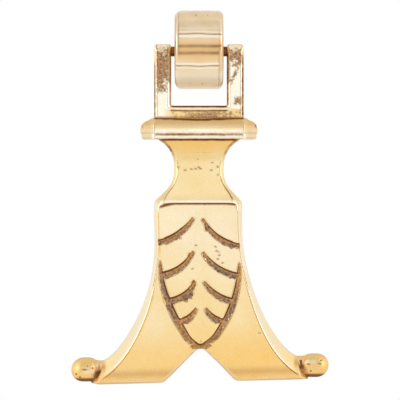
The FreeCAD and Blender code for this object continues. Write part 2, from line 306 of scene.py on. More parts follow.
def polished_cast_brass():
    """Sand-cast yellow brass, filed and buffed on its faces.

    Buffed faces are pale and satin, the skin of the shackle keeps the grain of the mould,
    and the cuts stay dark brown. The colour also carries painted light: highlights on ridges and edges,
    shade in corners, mouldings and undersides, and reflections that make bevels pale and undersides golden.
    """
    material = new_material("polished_cast_brass")
    tree = material.node_tree
    place = add(tree, "ShaderNodeTexCoord").outputs["Object"]
    mark = {
        name: add(tree, "ShaderNodeAttribute", attribute_name=name).outputs["Fac"]
        for name in DROP_MARKS
    }
    cloud = add(tree, "ShaderNodeTexNoise", {"Vector": place, "Scale": per_mm(BUFF_CLOUD), "Detail": 4.0})
    grain = add(tree, "ShaderNodeTexNoise", {"Vector": place, "Scale": per_mm(CAST_GRAIN), "Detail": 3.0})
    sand = add(tree, "ShaderNodeTexNoise", {"Vector": place, "Scale": per_mm(MOULD_SAND), "Detail": 2.0})
    grain_share = add(tree, "ShaderNodeMapRange", {VALUE: grain, FROM_LOW: 0.36, FROM_HIGH: 0.64})
    sand_share = add(tree, "ShaderNodeMapRange", {VALUE: sand, FROM_LOW: 0.32, FROM_HIGH: 0.68})

    # Buffed metal, pale to golden; its warmth mark holds painted reflections as well as the brass's own tone
    clouds = add(tree, "ShaderNodeMapRange",
                 {VALUE: cloud, FROM_LOW: 0.3, FROM_HIGH: 0.7, TO_LOW: -0.07, TO_HIGH: 0.07})
    mottle = add(tree, "ShaderNodeMapRange",
                 {VALUE: grain, FROM_LOW: 0.36, FROM_HIGH: 0.64, TO_LOW: -0.05, TO_HIGH: 0.05})
    clouded = add(tree, "ShaderNodeMath", {0: clouds, 1: mottle})
    warm_share = add(tree, "ShaderNodeMath", {0: mark["warmth"], 1: clouded}, use_clamp=True)
    buffed = add(tree, "ShaderNodeValToRGB", {0: warm_share}, [
        (0.0, linear("FFF9E6")),
        (0.15, linear("F8E8C6")),
        (0.5, linear("F6DAA0")),
        (0.9, linear("F8CA76")),
        (1.0, linear("DFA03E")),
    ])

    # Grainy colours: the skin that the mould left, and the floors and rough long walls of the cuts
    skin, cut, long_wall = (
        add(tree, "ShaderNodeMix", {SHARE: share, COLOUR_A: linear(dark), COLOUR_B: linear(pale)},
            data_type="RGBA").outputs[COLOUR_OUT]
        for share, dark, pale in ((sand_share, "86624C", "DDB285"),
                                  (grain_share, "B07638", "DCA661"),
                                  (grain_share, "62493A", "AC937A")))

    # What lies over the floors of the cuts, with painted shade on their steep walls, and then over the buffed
    # metal, painted highlights first
    for name, over in (("rough_wall_and_shade", long_wall), ("wall_shade", linear("6B3D16"))):
        cut = add(tree, "ShaderNodeMix", {SHARE: mark[name], COLOUR_A: cut, COLOUR_B: over},
                  data_type="RGBA").outputs[COLOUR_OUT]
    clean = buffed
    for name, over in (("painted_highlight", linear("FFF8E8")), ("skin", skin), ("cut", cut)):
        clean = add(tree, "ShaderNodeMix", {SHARE: mark[name], COLOUR_A: clean, COLOUR_B: over},
                    data_type="RGBA").outputs[COLOUR_OUT]

    # Painted shade in corners, lines and undersides, with brown patina in the hollows, darkest where it is
    # strongest
    shade_share = add(tree, "ShaderNodeMapRange", {VALUE: mark["shade_and_patina"], FROM_HIGH: 0.75},
                       interpolation_type="SMOOTHSTEP")
    shade_colour = add(tree, "ShaderNodeValToRGB", {0: mark["shade_and_patina"]}, [
        (0.15, linear("B0704A")),
        (0.6, linear("96602A")),
        (1.0, linear("57330F")),
    ])
    colour = add(tree, "ShaderNodeMix", {SHARE: shade_share, COLOUR_A: clean,
                                         COLOUR_B: shade_colour}, data_type="RGBA")

    # Polish, which the dark places have lost
    dull = add(tree, "ShaderNodeMath", {0: mark["cut"], 1: mark["shade_and_patina"]}, operation="MAXIMUM")
    satin = add(tree, "ShaderNodeMapRange",
                {VALUE: cloud, FROM_LOW: 0.3, FROM_HIGH: 0.7, TO_LOW: 0.15, TO_HIGH: 0.22})
    grainy = add(tree, "ShaderNodeMath", {0: mark["skin"], 1: mark["unbuffed"]}, operation="MAXIMUM")
    rough_skin = add(tree, "ShaderNodeMix", {SHARE: grainy, NUMBER_A: satin, NUMBER_B: 0.45})
    rough = add(tree, "ShaderNodeMix", {SHARE: dull, NUMBER_A: rough_skin, NUMBER_B: 0.6})
    metal = add(tree, "ShaderNodeMapRange", {VALUE: dull, TO_LOW: 1.0, TO_HIGH: 0.5})
    bump = add(tree, "ShaderNodeBump", {"Strength": 0.15, "Distance": BUMP_HEIGHT * MM, "Height": grain})
    surface = add(tree, "ShaderNodeBsdfPrincipled", {
        "Base Color": colour.outputs[COLOUR_OUT],
        "Metallic": metal,
        "Roughness": rough,
        "Normal": bump,
    })
    add(tree, "ShaderNodeOutputMaterial", {"Surface": surface})
    return material


def satin_brass():
    """Cast brass filed to a round nose and satin finished: pale, with painted reflections along the nose, a
    tan middle and bright and dark lines, and painted shade.
    """
    material = new_material("satin_brass")
    tree = material.node_tree
    place = add(tree, "ShaderNodeTexCoord").outputs["Object"]
    mark = {
        name: add(tree, "ShaderNodeAttribute", attribute_name=name).outputs["Fac"]
        for name in KNUCKLE_MARKS
    }
    lengthwise = add(tree, "ShaderNodeVectorMath", {0: place, 1: FILED_STRETCH}, operation="MULTIPLY")
    cloud = add(tree, "ShaderNodeTexNoise", {"Vector": place, "Scale": per_mm(SATIN_CLOUD), "Detail": 4.0})
    lines = add(tree, "ShaderNodeTexNoise",
                {"Vector": lengthwise, "Scale": per_mm(FILE_LINE), "Detail": 3.0})
    tone = add(tree, "ShaderNodeMapRange", {VALUE: cloud, FROM_LOW: 0.3, FROM_HIGH: 0.7})
    colour = add(tree, "ShaderNodeMix", {SHARE: tone, COLOUR_A: linear("F8E2C0"),
                                         COLOUR_B: linear("F1D2A6")}, data_type="RGBA").outputs[COLOUR_OUT]
    # Painted reflections and shade over the pale brass: the tan middle, bright lines and strips, and dark
    # lines, edges and cheeks
    for name, over in (("tan", "EAC086"), ("painted_brightness", "FFF8E4"), ("painted_shade_and_pits", "7A4C26")):
        colour = add(tree, "ShaderNodeMix", {SHARE: mark[name], COLOUR_A: colour, COLOUR_B: linear(over)},
                     data_type="RGBA").outputs[COLOUR_OUT]
    satin = add(tree, "ShaderNodeMapRange",
                {VALUE: lines, FROM_LOW: 0.3, FROM_HIGH: 0.7, TO_LOW: 0.26, TO_HIGH: 0.36})
    rough = add(tree, "ShaderNodeMix", {SHARE: mark["matt"], NUMBER_A: satin, NUMBER_B: 0.55})
    metal = add(tree, "ShaderNodeMapRange", {VALUE: mark["matt"], TO_LOW: 0.9, TO_HIGH: 0.4})
    bump = add(tree, "ShaderNodeBump", {"Strength": 0.2, "Distance": BUMP_HEIGHT * MM, "Height": lines})
    surface = add(tree, "ShaderNodeBsdfPrincipled", {
        "Base Color": colour,
        "Metallic": metal,
        "Roughness": rough,
        "Normal": bump,
    })
    add(tree, "ShaderNodeOutputMaterial", {"Surface": surface})
    return material


def drawn_pin_brass():
    """Drawn brass rod, coloured brown as painted shade where it sits in its hole, with drawing lines along
    its length.
    """
    material = new_material("drawn_pin_brass")
    tree = material.node_tree
    place = add(tree, "ShaderNodeTexCoord").outputs["Object"]
    lengthwise = add(tree, "ShaderNodeVectorMath", {0: place, 1: DRAWN_STRETCH}, operation="MULTIPLY")
    lines = add(tree, "ShaderNodeTexNoise",
                {"Vector": lengthwise, "Scale": per_mm(DRAWN_LINE), "Detail": 3.0})
    tone = add(tree, "ShaderNodeMapRange", {VALUE: lines, FROM_LOW: 0.35, FROM_HIGH: 0.65})
    # Painted shade: brown instead of the brass's own colour
    colour = add(tree, "ShaderNodeMix", {SHARE: tone, COLOUR_A: linear("5C3A26"),
                                         COLOUR_B: linear("A9743C")}, data_type="RGBA")
    rough = add(tree, "ShaderNodeMapRange",
                {VALUE: lines, FROM_LOW: 0.3, FROM_HIGH: 0.7, TO_LOW: 0.3, TO_HIGH: 0.5})
    surface = add(tree, "ShaderNodeBsdfPrincipled", {
        "Base Color": colour.outputs[COLOUR_OUT],
        "Metallic": 1.0,
        "Roughness": rough,
    })
    add(tree, "ShaderNodeOutputMaterial", {"Surface": surface})
    return material


# The drop's worn corners

def softened(points, edges):
    """Rounds off the body's shoulders and the toes beside the notch, which were rubbed down."""
    side, z = np.abs(points[:, 0]), points[:, 2]
    shoulders = ease(6.0, 6.6, side) * bell(-25.9, 0.8, z)
    toes = bell(6.2, 1.2, side) * bell(-56.3, 1.2, z)
    share = np.maximum(shoulders, toes)[:, None]
    return points * (1.0 - share) + relax(points, edges, CORNER_ROUNDS) * share


# The drop's cast skin

# Dark patches on the shackle's front: middle x and z, half width and height, turn in degrees, strength
SKIN_PATCHES = (
    (-6.6, -2.7, 1.4, 2.8, 0.0, 1.05),
    (-5.5, -2.9, 1.0, 2.6, 0.0, 0.5),
    (-6.2, -6.2, 1.4, 1.2, 0.0, 0.5),
    (6.5, -0.8, 1.6, 1.0, 0.0, 0.95),
    (6.6, -2.1, 1.4, 0.9, 0.0, 0.6),
    (5.95, -4.3, 0.5, 2.1, -28.0, 0.55),
    (6.8, -8.4, 1.1, 0.9, 0.0, 0.6),
    (1.4, -10.9, 6.4, 0.85, 0.0, 0.62),
)
PATCH_EDGE = 0.25
SKIN_SAND = (0.2, 11)
SKIN_CLUMPS = (0.6, 12)

# The corner at the bar's foot, which the casting filled, most of all in the middle
FOOT_FILL = 0.2
FOOT_SAG = 0.28
FOOT_BLUR = 0.1
SAG_X = (0.0, 4.5)


def bar_foot(x):
    """Height where the shackle's bar meets the collar."""
    return SHACKLE_FOOT - FOOT_FILL - FOOT_SAG * bell(*SAG_X, x)


def skin_mark(points, facing):
    """Where the front of the shackle keeps its dark skin, broken up along its edges."""
    x, z = points[:, 0], points[:, 2]
    share = np.full(len(points), -np.inf)
    for middle_x, middle_z, half_width, half_height, turn, strength in SKIN_PATCHES:
        cosine, sine = math.cos(math.radians(turn)), math.sin(math.radians(turn))
        across = (x - middle_x) * cosine + (z - middle_z) * sine
        up = (z - middle_z) * cosine - (x - middle_x) * sine
        reach = np.maximum(np.abs(across) / half_width, np.abs(up) / half_height)
        share = np.maximum(share, strength + PATCH_EDGE - reach)
    broken = share + 0.5 * lumps(points, *SKIN_SAND) + 0.25 * lumps(points, *SKIN_CLUMPS)
    bar = ease(-9.2, -9.8, z)
    flat = ease(0.75 - 0.4 * bar, 0.95 - 0.4 * bar, facing)
    corner = bell(-11.55, 0.35, z) * ease(-0.2, 0.1, facing)
    foot = bar_foot(x)
    front = np.maximum(flat, corner) * ease(foot - FOOT_BLUR, foot + FOOT_BLUR, z)
    return ease(0.0, 0.6, broken) * front * (1.0 - 0.15 * bar)


# The carved leaf

# Its outline: half width and height of its top, and the radius of its edge
LEAF_MIDDLE_X = 6.75
LEAF_TOP = -34.4
LEAF_ARC = 25.0

# The outline's cut, from its middle inwards and outwards, and where it is lighter: at its top and lower half
OUTLINE_INNER = (-1.1, -0.7)
OUTLINE_OUTER = (0.9, 0.6)
LIGHTER_BY = 0.1
LIGHT_TOP_Z = (-36.9, -35.2)
LIGHT_LOWER_Z = (-44.0, -46.5)
LIGHT_END_Z = (-50.2, -48.6)

# Where the face is carved; depths are measured back from the face
CARVED_TOP_Z = (BODY_TOP - 1.0, BODY_TOP - 1.4)
NEAR_FACE = (1.4, 1.0)
LIGHT_DEPTH = (1.2, 0.9)

# The left half, and the lower leaf, where the long walls are smoother
LEFT_HALF_X = (0.5, -0.5)
LOWER_LEAF_Z = (-44.0, -47.0)

# Broad chisel stops at the ends of veins: x, z, half width and half height
BROAD_STOPS = (
    (-1.5, -34.95, 0.38, 0.5),
    (-0.98, -39.75, 0.42, 0.75),
    (-1.75, -41.4, 0.6, 0.8),
    (-2.6, -42.05, 0.6, 0.65),
    (1.5, -30.05, 0.42, 0.5),
)
STOP_DEPTH = 0.15

# Random lumps in the carving
CUT_RAGS = (0.4, 23)
CUT_FINE_RAGS = (0.2, 24)
CUT_PATCHES = (2.2, 25)
STOP_RAGS = (0.3, 28)


def from_outline(x, z):
    """How far a place lies outside the middle of the leaf's outline, which narrows in an arc to the tip."""
    drop = np.clip(LEAF_TOP - z, 0.0, LEAF_ARC)
    narrowing = LEAF_ARC - np.sqrt(LEAF_ARC ** 2 - drop ** 2)
    return np.abs(x) + narrowing - LEAF_MIDDLE_X


def lightly_cut(points):
    """Fills the leaf's outline a little where it was cut more lightly."""
    x, y, z = points.T
    away = from_outline(x, z)
    depth = y - FACE_FRONT
    band = ease(*OUTLINE_INNER, away) * ease(*OUTLINE_OUTER, away) * ease(*CARVED_TOP_Z, z)
    where = np.maximum(ease(*LIGHT_TOP_Z, z), ease(*LIGHT_LOWER_Z, z) * ease(*LIGHT_END_Z, z))
    lighter = LIGHTER_BY * band * where
    moved = points.copy()
    moved[:, 1] -= np.minimum(lighter, np.maximum(depth, 0.0)) * ease(*LIGHT_DEPTH, depth)
    return moved


def stop_mark(points):
    """Where the chisel stopped broadly at the end of a vein, on the front face alone."""
    share = np.zeros(len(points))
    ragged = 0.15 * lumps(points, *STOP_RAGS)
    for x, z, half_width, half_height in BROAD_STOPS:
        away = np.hypot((points[:, 0] - x) / half_width, (points[:, 2] - z) / half_height)
        share = np.maximum(share, ease(1.15, 0.85, away + ragged))
    return share * ease(*NEAR_FACE, points[:, 1] - FACE_FRONT)


def cut_marks(points, normals):
    """Where the leaf is cut into the front face, painted shade on its steep walls, and its long rough walls.
    """
    x, y, z = points.T
    side = np.abs(x)
    outline = ease(*OUTLINE_INNER, from_outline(x, z))
    steepness = -normals[:, 2] + 0.6 * outline * np.maximum(0.0, normals[:, 0] * np.sign(x))
    inside = ease(*CARVED_TOP_Z, z) * ease(-52.5, -51.5, z) * ease(8.2, 7.8, side)
    walls = ease(6.3, 5.9, side) * ease(-50.6, -50.1, z) * ease(*NEAR_FACE, y - FACE_FRONT)
    inside *= np.maximum(ease(0.45, 0.55, -normals[:, 1]), walls)
    ragged = 0.09 * lumps(points, *CUT_RAGS) + 0.05 * lumps(points, *CUT_FINE_RAGS)
    long_wall = ease(0.0, -0.2, steepness)
    depth = y - FACE_FRONT + ragged * long_wall
    stops = stop_mark(points)
    cut = np.maximum(ease(0.02, 0.07, depth), stops) * inside
    # Painted shade: the steep walls that face down, and a thin dark line along the lower edges
    lower_edge = 0.5 * ease(0.15, 0.08, depth) * long_wall
    wall_shade = np.maximum(ease(0.15, 0.45, steepness), lower_edge)

    # The long walls are rough in patches, and less so on the left veins, the lower outline and the tip; the
    # outline's left flank gets painted shade
    uneven = np.clip(0.9 + 0.5 * lumps(points, *CUT_PATCHES), 0.4, 1.0)
    uneven *= 1.0 - 0.4 * (1.0 - outline) * ease(*LEFT_HALF_X, x) - 0.3 * outline * ease(*LOWER_LEAF_Z, z)
    uneven *= 1.0 - 0.6 * bell(0.0, 1.5, x) * ease(-48.3, -49.3, z)
    rough = uneven * ease(0.05, -0.18, steepness)
    shaded_flank = 0.85 * outline * ease(-3.0, -4.0, x) * bell(-40.5, 3.5, z)
    dark_stops = 0.8 * stops * np.maximum(ease(0.0, 0.5, x), ease(-40.2, -41.0, z))
    return cut, cut * wall_shade, cut * strongest(rough, shaded_flank, dark_stops)


# Lines and pits on the drop

# The line under the ledge: height, half width, how much broader it is on the left, and depth
LEDGE_Z = -26.05
LEDGE_WIDTH = 0.18
LEDGE_BROADER = 0.05
LEDGE_DEPTH = 0.14

# Where each end of that line starts to bend down, the run of the bend and how far it falls in that run
LEFT_BEND = (-3.6, 2.8, 0.5)
RIGHT_BEND = (4.4, 2.0, 0.15)
BEND_LIMIT = 1.2

# Pits that the casting left on the front: x, z and radius
PITS = (
    (-3.56, -19.8, 0.22), (-2.3, -20.3, 0.2), (-1.27, -20.1, 0.18), (-0.58, -20.05, 0.2),
    (0.0, -19.8, 0.18), (0.26, -20.05, 0.18), (-0.2, -18.4, 0.16), (2.24, -19.0, 0.16),
    (3.2, -19.7, 0.22), (3.3, -21.1, 0.18), (2.1, -20.3, 0.16), (-3.16, -32.2, 0.22),
    (-0.41, -33.1, 0.18), (-1.0, -37.1, 0.18), (2.8, -33.0, 0.2), (3.03, -33.75, 0.22),
    (3.42, -34.5, 0.2), (3.15, -35.2, 0.2), (3.86, -35.9, 0.18), (3.3, -34.0, 0.14),
    (10.0, -48.0, 0.14), (0.05, -49.2, 0.16), (-19.15, -53.3, 0.22), (-18.3, -53.7, 0.22),
    (-21.1, -54.8, 0.25), (-20.4, -55.3, 0.25), (20.6, -53.1, 0.22), (18.9, -55.0, 0.25),
)
PIT_DEPTH = 0.16
PIT_FLOOR = 0.3


def ledge_line(points, facing):
    """The line under the ledge on top of the body, which bends down at its ends: a shallow groove with
    painted shade in it.
    """
    x, z = points[:, 0], points[:, 2]
    left, left_run, left_fall = LEFT_BEND
    right, right_run, right_fall = RIGHT_BEND
    middle = LEDGE_Z - left_fall * np.clip((left - x) / left_run, 0.0, BEND_LIMIT) ** 2
    middle -= right_fall * np.clip((x - right) / right_run, 0.0, BEND_LIMIT) ** 2
    width = LEDGE_WIDTH + LEDGE_BROADER * ease(-3.6, -5.6, x)
    ends = ease(-6.9, -6.2, x) * ease(6.6, 6.2, x)
    return bell(middle, width, z) * ends * ease(0.2, 0.5, facing)


def pit_mark(points, pits):
    """The hollows of pits, deepest in their middles."""
    share = np.zeros(len(points))
    for x, z, radius in pits:
        away = np.hypot(points[:, 0] - x, points[:, 2] - z)
        share = np.maximum(share, ease(radius, PIT_FLOOR * radius, away))
    return share


def seam_mark(points, normals):
    """The fine line where the front of the body and neck meets its bevels."""
    side, z = np.abs(points[:, 0]), points[:, 2]
    facing = -normals[:, 1]
    sideways = np.abs(normals[:, 0])
    # The lower bevels slope more gently
    steepest = 0.6 + 0.24 * ease(-35.0, -40.0, z)
    body = ease(steepest, steepest + 0.06, facing) * ease(0.996, 0.98, facing)
    body *= ease(BODY_TOP - 0.8, BODY_TOP - 1.6, z) * ease(-55.8, -55.0, z) * ease(5.6, 6.0, side)
    body *= np.maximum(ease(-50.0, -49.0, z), ease(8.0, 9.0, side))
    neck = ease(0.1, 0.2, sideways) * ease(0.55, 0.4, sideways) * ease(0.3, 0.5, facing)
    neck *= ease(-20.8, -22.0, z) * ease(BODY_TOP + 0.4, BODY_TOP + 1.0, z)
    return np.maximum(body, neck) * ease(KNOB_ROOT + 0.5, KNOB_ROOT, side)


# Painted shade on the drop, with brown patina in its hollows

# Painted shade lines across the front, in the corners of its mouldings and under their edges:
# z, how much lower in the middle, half width, strength, reach in x
DARK_LINES = (
    (-9.45, 0.0, 0.19, 0.95, 4.7),
    (-10.1, 0.12, 0.13, 0.85, 4.9),
    (-11.5, 0.28, 0.23, 0.92, 7.6),
    (-14.28, 0.0, 0.25, 0.62, 7.5),
    (-15.15, 0.0, 0.2, 1.0, 7.6),
    (-17.3, 0.0, 0.08, 0.2, 2.9),
)
LINE_END = 0.3
LINE_SWAY = 0.05

# Random lumps in the painted shade and patina
SPECKLE = (0.5, 31)
SWAY = (1.5, 32)

# Where the knobs begin
KNOB_X = (KNOB_ROOT, KNOB_ROOT + 0.5)

# Dark dashes across the knobs: x, z and half length
KNOB_DASHES = ((-19.6, -53.95, 0.6), (20.4, -53.7, 0.4), (18.4, -53.75, 0.4))
DASH_HALF_HEIGHT = 0.15


def patchy(share, speckle):
    """A share that comes and goes with the speckle."""
    return share * (0.8 + 0.4 * speckle)


def moulding_shade_lines(points, facing, speckle):
    """Painted shade lines in the corners of the mouldings and under their edges, which sway and break up a
    little.
    """
    x, z = points[:, 0], points[:, 2]
    sway = LINE_SWAY * lumps(points * ACROSS, *SWAY)
    share = np.zeros(len(points))
    for height, sag, half_width, strength, reach in DARK_LINES:
        line = bell(height - sag * bell(*SAG_X, x) + sway, half_width, z)
        line *= ease(reach + LINE_END, reach - LINE_END, np.abs(x)) * ease(0.1, 0.4, facing)
        share = np.maximum(share, line * (strength + 0.2 * speckle))
    return share


def shackle_shade(points, facing, speckle):
    """Painted shade on the inner edges of the arms, and in patches along their outer sides."""
    x, z = points[:, 0], points[:, 2]
    arms = ease(-9.6, -9.0, z) * ease(0.3, -0.8, z)
    inner_edge = bell(4.88, 0.17, np.abs(x)) * arms * (0.58 + 0.3 * speckle + 0.1 * np.sign(x))
    left_side = ease(-7.36, -7.5, x) * ease(-1.0, -3.0, z)
    sides = 0.9 * np.maximum(left_side, ease(7.6, 7.68, x)) * ease(0.05, 0.25, facing)
    right_line = bell(7.43, 0.17, x) * ease(0.0, -1.5, z)
    lines = np.maximum(right_line, 0.45 * bell(-7.2, 0.12, x)) * ease(0.1, 0.4, facing)
    outer = np.maximum(sides, lines) * ease(SHACKLE_FOOT, SHACKLE_FOOT + 0.4, z)
    return np.maximum(inner_edge, patchy(outer, speckle))


def collar_shade(points, facing, speckle):
    """Painted shade: a brown tint on the collar's ovolo and corner facets, and dark patches on its ends."""
    side, z = np.abs(points[:, 0]), points[:, 2]
    below_shackle = ease(SHACKLE_FOOT + 0.1, SHACKLE_FOOT - 0.1, z)
    ovolo = 0.22 * ease(-13.5, -13.0, z) * below_shackle
    facet = 0.25 * ease(7.6, 8.3, side) * ease(COLLAR_FOOT - 0.2, COLLAR_FOOT, z) * below_shackle
    facet_edge = 0.32 * bell(7.75, 0.35, side) * bell(-13.4, 0.9, z)
    end = 0.65 * bell(9.65, 0.3, side) * bell(-12.7, 0.5, z) * ease(-0.3, 0.2, facing)
    return strongest(ovolo, facet, facet_edge, patchy(end, speckle))


def body_shade(points, facing, seam, speckle):
    """Painted shade in the seams, most on the right, on the rims and sides, and on the edges of the upper
    neck.
    """
    x, z = points[:, 0], points[:, 2]
    below_collar = ease(COLLAR_FOOT, COLLAR_FOOT - 0.3, z)
    seam_shade = (0.3 + 0.45 * ease(-1.0, 1.0, x)) * seam
    rim = 0.3 * ease(0.4, 0.25, facing) * ease(-0.2, 0.1, facing) * below_collar
    neck_edge = 0.6 * ease(0.9, 0.6, facing) * ease(-0.1, 0.3, facing) * below_collar
    neck_edge *= ease(-18.8, -17.0, z)
    side_wall = 0.16 * ease(0.35, 0.1, np.abs(facing)) * ease(BODY_TOP, BODY_TOP - 0.5, z)
    side_wall *= 1.0 - ease(*KNOB_X, np.abs(x))
    return strongest(seam_shade, rim, patchy(np.maximum(neck_edge, side_wall), speckle))


def foot_shade(points, facing, speckle):
    """Painted shade under the knobs, behind the heels, on the ankles and along the feet, and dark dashes
    across the knobs.
    """
    x, y, z = points.T
    side = np.abs(x)
    knob_rim = 0.8 * ease(-55.1, -55.75, z) * ease(17.6, 18.6, side)
    band = 0.28 * bell(-54.6, 0.9, z) * ease(0.7, 0.95, facing) * (1.0 - ease(*KNOB_X, side))
    ankle_front = 0.4 * bell(16.4, 0.5, side) * bell(-53.4, 0.9, z) * ease(0.1, 0.4, facing)
    heel = 0.95 * bell(17.3, 0.75, side) * bell(-54.6, 1.3, z) * ease(-2.2, -1.7, y)
    share = strongest(knob_rim, band, ankle_front, patchy(heel, speckle))
    for middle_x, middle_z, half_length in KNOB_DASHES:
        dash = bell(middle_z, DASH_HALF_HEIGHT, z) * bell(middle_x, half_length, x)
        share = np.maximum(share, 0.75 * dash * ease(0.7, 0.85, facing))
    return share


def shade_and_patina_mark(points, normals, edges, facing, seam):
    """Painted shade, with brown patina in the hollows: in corners and ankles, in the lines, and on each part
    of the drop.
    """
    side, z = np.abs(points[:, 0]), points[:, 2]
    speckle = lumps(points, *SPECKLE)
    corner = ease(0.03, 0.07, hollow_depth(points, normals, edges, HOLLOW_SHADE_ROUNDS) + 0.008 * speckle)
    corner *= 1.0 - 0.8 * bell(SHACKLE_FOOT, 0.3, z) * ease(7.6, 7.2, side)
    # Painted shade where the knobs meet the legs
    ankle = ease(0.06, 0.2, hollow_depth(points, normals, edges, ANKLE_ROUNDS)) * ease(15.0, 15.8, side)
    share = strongest(
        corner,
        0.9 * ankle,
        moulding_shade_lines(points, facing, speckle),
        shackle_shade(points, facing, speckle),
        collar_shade(points, facing, speckle),
        body_shade(points, facing, seam, speckle),
        foot_shade(points, facing, speckle),
    )
    return np.clip(share, 0.0, 1.0)


# The drop's warmth: its golden tone, with painted reflections

# How far out the legs are warmest, and how warm the bevels and the knobs are
LEG_SPREAD = 8.0
BEVEL_WARMTH = 0.2
KNOB_WARMTH = 0.72


def body_warmth(points, normals, facing):
    """Pale bevels and golden undersides and sides, painted reflections that follow how each surface faces,
    and a face that turns golden downwards.
    """
    x, z = points[:, 0], points[:, 2]
    # The face is warmer downwards and on the right leg, and paler on the upper legs
    face = 0.24 + 0.28 * ease(-30.0, -46.0, z) + 0.26 * ease(-44.0, -53.0, z)
    face += 0.07 * np.clip(x / LEG_SPREAD, -1.0, 1.0) * ease(-40.0, -46.0, z)
    face -= 0.09 * ease(4.0, 7.0, np.abs(x)) * bell(-46.0, 4.0, z)
    front = BEVEL_WARMTH + (face - BEVEL_WARMTH) * ease(0.6, 0.9, facing)
    # Painted reflections: golden where the surface faces down or to the side
    underside = 0.75 * ease(0.2, 0.5, -normals[:, 2])
    side_wall = 0.5 * ease(0.3, 0.0, facing)
    return strongest(front, underside, side_wall)


def collar_warmth(x, z):
    """Painted reflections on the collar: a pale lip, a golden ovolo, and corner facets in between."""
    band = 0.03 + 0.35 * ease(-13.65, -13.15, z) + 0.2 * ease(-12.9, -12.4, z)
    facet = ease(7.4, 8.4, np.abs(x)) * (0.6 + 0.4 * ease(-13.6, -12.8, z))
    return band + (0.36 - 0.5 * band) * facet


def shackle_warmth(x, z, facing):
    """A pale front, golden sides and a pale bevel on top of the bar, painted reflections that follow how they
    face, with golden eyes and bar.
    """
    sides = 0.6 - 0.6 * ease(0.6, 0.9, facing)
    eyes = 0.2 * ease(-0.9, 0.2, z)
    bar = 0.6 * ease(-9.7, -10.1, z) * ease(-6.5, -4.0, x)
    bevel = 0.9 * bell(-9.65, 0.2, z) * ease(5.2, 4.9, np.abs(x))
    return np.maximum(sides, eyes + bar) * (1.0 - bevel)


def warmth_mark(points, normals, facing, seam):
    """How golden the buffed brass looks, its own tone with painted reflections: pale on bevels and arms,
    orange under the collar and at the feet.
    """
    x, z = points[:, 0], points[:, 2]
    # Painted reflection: the neck turns orange up under the collar, where it faces down
    neck = 0.44 + 0.4 * ease(-19.0, -15.8, z)
    value = np.where(z > BODY_TOP, neck, body_warmth(points, normals, facing))
    value = np.where(z > COLLAR_FOOT, collar_warmth(x, z), value)
    value = np.where(z > bar_foot(x), shackle_warmth(x, z, facing), value)
    value += (KNOB_WARMTH - value) * ease(KNOB_ROOT - 1.4, KNOB_ROOT - 0.7, np.abs(x))
    # Painted reflection: a gold line along the left edge of the upper body
    left_edge = 0.85 * bell(-6.75, 0.24, x) * ease(-27.0, -27.8, z) * ease(-36.5, -34.5, z)
    left_edge *= ease(0.45, 0.7, facing)
    return strongest(value, seam, left_edge)


def unbuffed_mark(points, facing):
    """Where the buff never went: the knobs, the top of the collar and the back."""
    knobs = ease(15.6, 17.0, np.abs(points[:, 0]))
    collar = bell(-11.9, 0.6, points[:, 2])
    return strongest(knobs, collar, 0.8 * ease(-0.3, -0.7, facing))


# The drop's painted highlights

# Painted highlights on the knobs: middle, half width and half height
KNOB_HIGHLIGHT_X = 18.9
LEFT_HIGHLIGHT_Z = -54.2
RIGHT_HIGHLIGHT_Z = -53.3
HIGHLIGHT_HALF_WIDTH = 1.1
HIGHLIGHT_HALF_HEIGHT = 0.5
HIGHLIGHT_RAGS = (0.6, 27)


def painted_highlight_mark(points, normals, edges, facing, bevel_highlight):
    """Painted highlights on the buffed brass: ridges, the ledge's lip, patches on the knobs, and bevels
    beside the seams.
    """
    x, z = points[:, 0], points[:, 2]
    side = np.abs(x)
    ridge = 0.7 * ease(0.02, 0.08, -hollow_depth(points, normals, edges, HIGHLIGHT_ROUNDS))
    lip = bell(-25.62, 0.2, z) * ease(6.8, 6.2, side) * ease(0.2, 0.5, facing)
    highlight_z = np.where(x < 0.0, LEFT_HIGHLIGHT_Z, RIGHT_HIGHLIGHT_Z)
    flat = np.hypot((side - KNOB_HIGHLIGHT_X) / HIGHLIGHT_HALF_WIDTH, (z - highlight_z) / HIGHLIGHT_HALF_HEIGHT)
    knob_highlight = 0.45 * ease(1.3, 0.3, flat + 0.4 * lumps(points, *HIGHLIGHT_RAGS)) * ease(0.7, 0.9, facing)
    painted_highlight = strongest(ridge, lip, knob_highlight, bevel_highlight)

    # No painted highlight on the collar's corners and the ankles
    painted_highlight *= 1.0 - 0.95 * bell(7.5, 0.5, side) * bell(-13.1, 1.7, z)
    painted_highlight *= 1.0 - 0.85 * bell(16.3, 1.3, side) * ease(-51.0, -52.0, z)
    return painted_highlight


# The drop's unevenness

# Leans of the whole width: z, half height and how far to the right
LEANS = ((-45.0, 10.0, 0.35), (-28.5, 5.0, -0.2))

# Sways of the leaf: x, half width, z, half height and how far to the right
SWAYS = (
    (0.0, 2.0, -37.0, 4.0, -0.35),
    (-6.3, 1.5, -40.0, 3.0, -0.15),
    (-2.9, 1.8, -47.3, 2.2, 0.3),
    (3.2, 1.8, -47.3, 2.2, -0.12),
)

# The leaf's tip, drawn in to a point and down
TIP_DRAWN_IN = 0.55
TIP_RUN = 1.2
TIP_DRAWN_DOWN = 0.2

# The upper veins hang lower on the right
VEIN_TILT = 0.35
VEIN_RUN = 3.0

# The collar's sloped shoulders
SLOPE = 0.3

# The feet: the right one is higher, their soles rise to the right, and the knobs are a little higher still
FEET_Z = (-44.0, -54.0)
FOOT_TILT = 0.27
FOOT_RUN = 5.0
SOLE_RISE = 0.025
RIGHT_SOLE = (5.0, 15.0, 18.0)
RIGHT_SOLE_X = (3.0, 6.0)
LEFT_SOLE = (6.4, 17.0)
KNOB_LIFT_X = (17.0, 18.5)
RIGHT_KNOB_LIFT = 0.1
LEFT_KNOB_LIFT = 0.22


